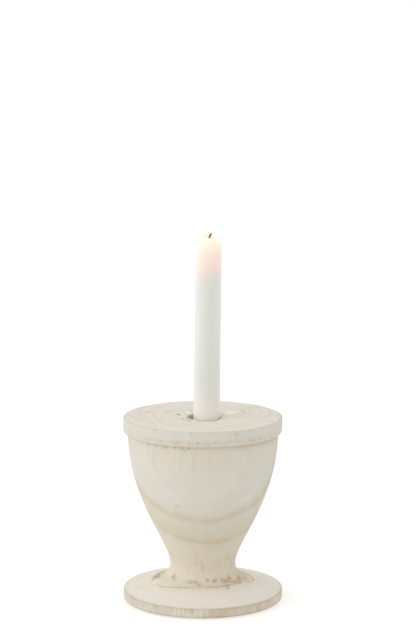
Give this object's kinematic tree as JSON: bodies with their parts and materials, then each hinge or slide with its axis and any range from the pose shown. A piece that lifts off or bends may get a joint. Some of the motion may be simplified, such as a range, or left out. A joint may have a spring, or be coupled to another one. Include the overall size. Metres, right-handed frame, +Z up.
{
  "type": "candlestick",
  "caption": "Turned wooden candlestick: wide flat head with a candle socket, bowl-shaped body, narrow stem and round foot, with a dinner candle that lifts out.",
  "frame": {"origin": "centre of the plane the felt pads stand on, under the turning axis", "axes": "+Z up along the turning axis; +X to the right and +Y to the back as the candlestick is seen, the candle leaning slightly to +X"},
  "size_m": [0.1302, 0.1302, 0.3021],
  "materials": {
    "head_wood": "matte",
    "bowl_wood": "matte",
    "foot_wood": "matte",
    "dowel_wood": "matte",
    "felt": "matte",
    "wax": "satin",
    "wick_cotton": "matte"
  },
  "bodies": {
    "holder": {"head_disc": "head_wood", "bowl": "bowl_wood", "foot_disc": "foot_wood", "stem_dowel": "dowel_wood", "felt_pads": "felt"},
    "candle": {"candle": "wax", "wick": "wick_cotton"}
  },
  "joints": [
    {"name": "candle_lift", "type": "slide", "parent": "holder", "child": "candle", "axis": [0, 0, 1], "range_m": [0, 0.06]}
  ]
}
